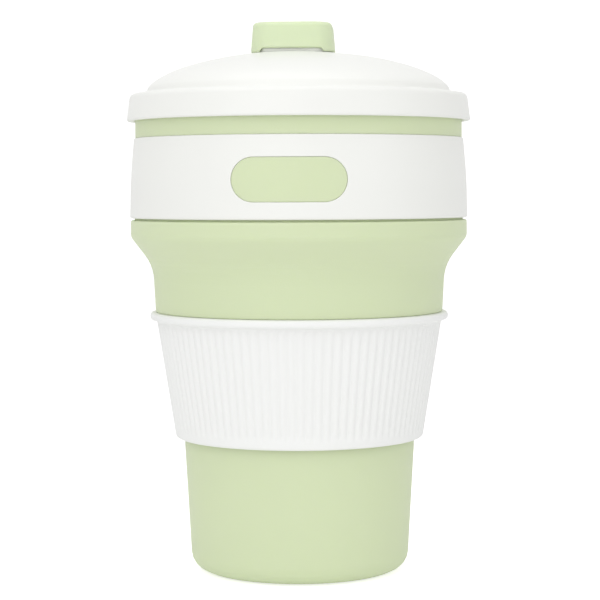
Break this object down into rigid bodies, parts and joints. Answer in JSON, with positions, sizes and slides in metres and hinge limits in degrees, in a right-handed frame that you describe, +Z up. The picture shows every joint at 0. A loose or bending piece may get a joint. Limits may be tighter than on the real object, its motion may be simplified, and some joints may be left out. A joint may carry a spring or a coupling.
{
  "type": "collapsible travel cup",
  "caption": "Collapsible silicone travel cup in nesting tiers, with a rigid collar, ribbed heat sleeve, push-on domed lid and a pull-up stopper.",
  "frame": {"origin": "middle of the base, at the height of the surface it stands on", "axes": "+Z up along the cup's axis; the collar's window faces -Y"},
  "size_m": [0.09, 0.09, 0.1434],
  "materials": {
    "green_silicone": "matte",
    "stopper_silicone": "matte",
    "clear_silicone": "matte",
    "white_plastic": "satin",
    "sleeve_white": "satin"
  },
  "bodies": {
    "base": {"base_cup": "green_silicone"},
    "middle": {"middle_wall": "green_silicone", "lower_fold": "green_silicone"},
    "sleeve": {"heat_sleeve": "sleeve_white"},
    "rim": {"rim_wall": "green_silicone", "shoulder_fold": "green_silicone", "collar": "white_plastic"},
    "lid": {"lid": "white_plastic", "lid_seal": "clear_silicone"},
    "stopper": {"stopper": "stopper_silicone"}
  },
  "joints": [
    {"name": "lower_fold_slide", "type": "slide", "parent": "base", "child": "middle", "axis": [0, 0, -1], "range_m": [0, 0.034], "deforming": ["lower_fold"]},
    {"name": "shoulder_fold_slide", "type": "slide", "parent": "middle", "child": "rim", "axis": [0, 0, -1], "range_m": [0, 0.037], "deforming": ["shoulder_fold"]},
    {"name": "sleeve_slide", "type": "slide", "parent": "middle", "child": "sleeve", "axis": [0, 0, 1], "range_m": [-0.034, 0]},
    {"name": "lid_lift", "type": "slide", "parent": "rim", "child": "lid", "axis": [0, 0, 1], "range_m": [0, 0.03]},
    {"name": "stopper_pull", "type": "slide", "parent": "lid", "child": "stopper", "axis": [0, 0, 1], "range_m": [0, 0.02]}
  ]
}
